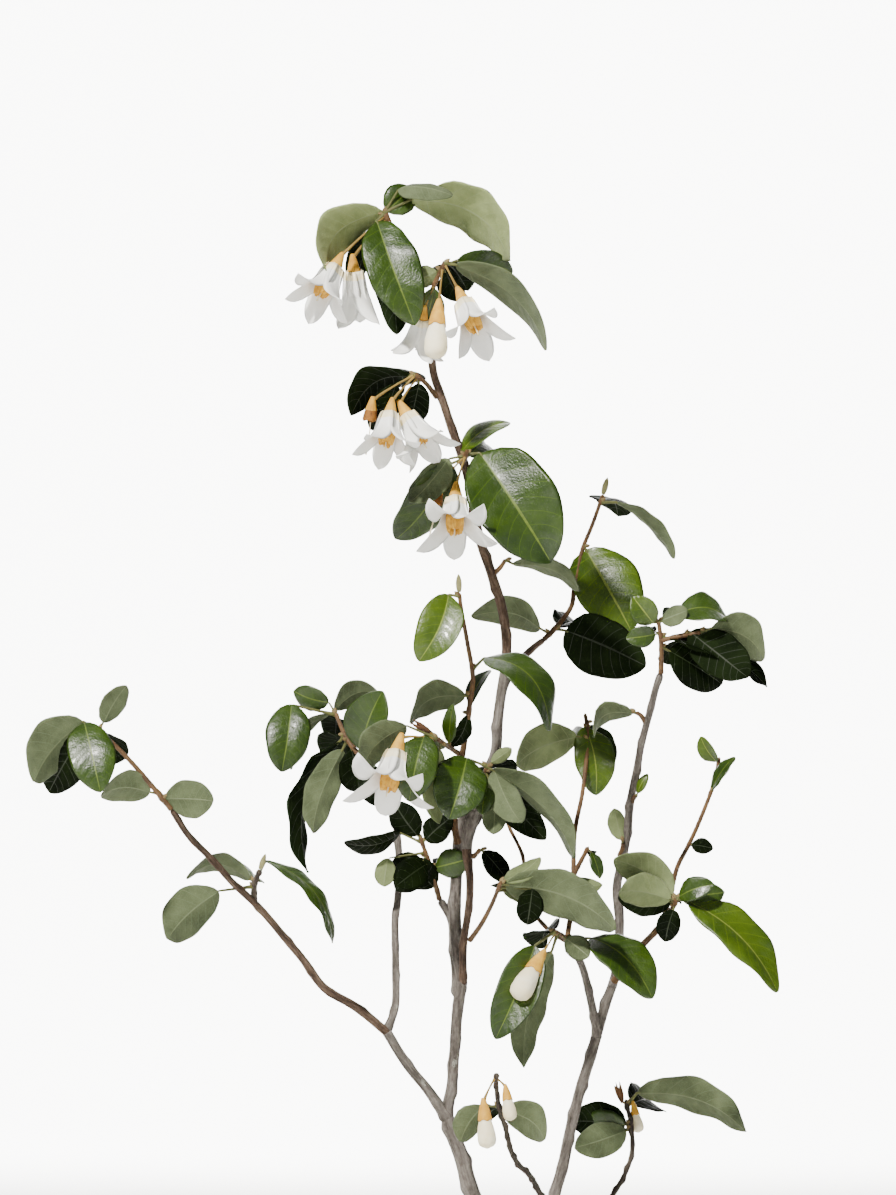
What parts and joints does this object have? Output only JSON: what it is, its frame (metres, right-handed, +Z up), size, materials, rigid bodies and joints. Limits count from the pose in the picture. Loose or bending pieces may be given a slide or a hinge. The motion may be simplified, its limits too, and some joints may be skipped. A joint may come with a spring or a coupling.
{
  "type": "snowdrop bush",
  "caption": "Young snowdrop bush, a sparse flowering shrub with slender forked stems, rounded alternate leaves, hanging white bell flowers and cream buds, rooted in the ground.",
  "frame": {"origin": "middle of the flat cut of the root crown, at ground level", "axes": "+Z up along the plant's height, +X to the right and +Y away from the side that is looked at"},
  "size_m": [0.2666, 0.1915, 0.4189],
  "materials": {
    "old_bark": "grey, finely furrowed bark",
    "young_bark": "smooth reddish brown bark of young twigs",
    "foliage": "leaves glossy dark green above and matt grey-green below",
    "bloom": "matt white petals, apricot calyx and orange anthers"
  },
  "bodies": {
    "root": {"trunk": "old_bark", "left_bough_lower": "old_bark", "left_bough": "old_bark", "left_riser": "old_bark", "tall_stem_lower": "old_bark", "tall_stem_upper": "young_bark", "inner_left_bough": "old_bark", "centre_stem": "young_bark", "centre_shoot": "young_bark", "upper_right_bough": "young_bark", "right_stem_lower": "old_bark", "right_stem_upper": "old_bark", "right_twig": "old_bark", "long_thin_twig": "young_bark", "right_side_bough": "young_bark", "top_left_spray": "foliage", "top_right_spray": "foliage", "mid_left_spray": "foliage", "upper_node_spray": "foliage", "mid_stem_leaf": "foliage", "upper_right_spray": "foliage", "right_top_spray": "foliage", "right_stem_spur": "foliage", "right_stem_bud": "foliage", "right_stem_leaf": "foliage", "inner_right_spray": "foliage", "centre_spray": "foliage", "centre_left_spray": "foliage", "burl_spray": "foliage", "left_riser_spray": "foliage", "inner_left_spray": "foliage", "centre_stem_leaf": "foliage", "left_tip_spray": "foliage", "left_side_spray": "foliage", "lower_centre_spray": "foliage", "bud_spray": "foliage", "right_side_spray": "foliage", "thin_right_spray": "foliage", "lower_front_spray": "foliage", "lower_back_spray": "foliage"}
  },
  "joints": []
}
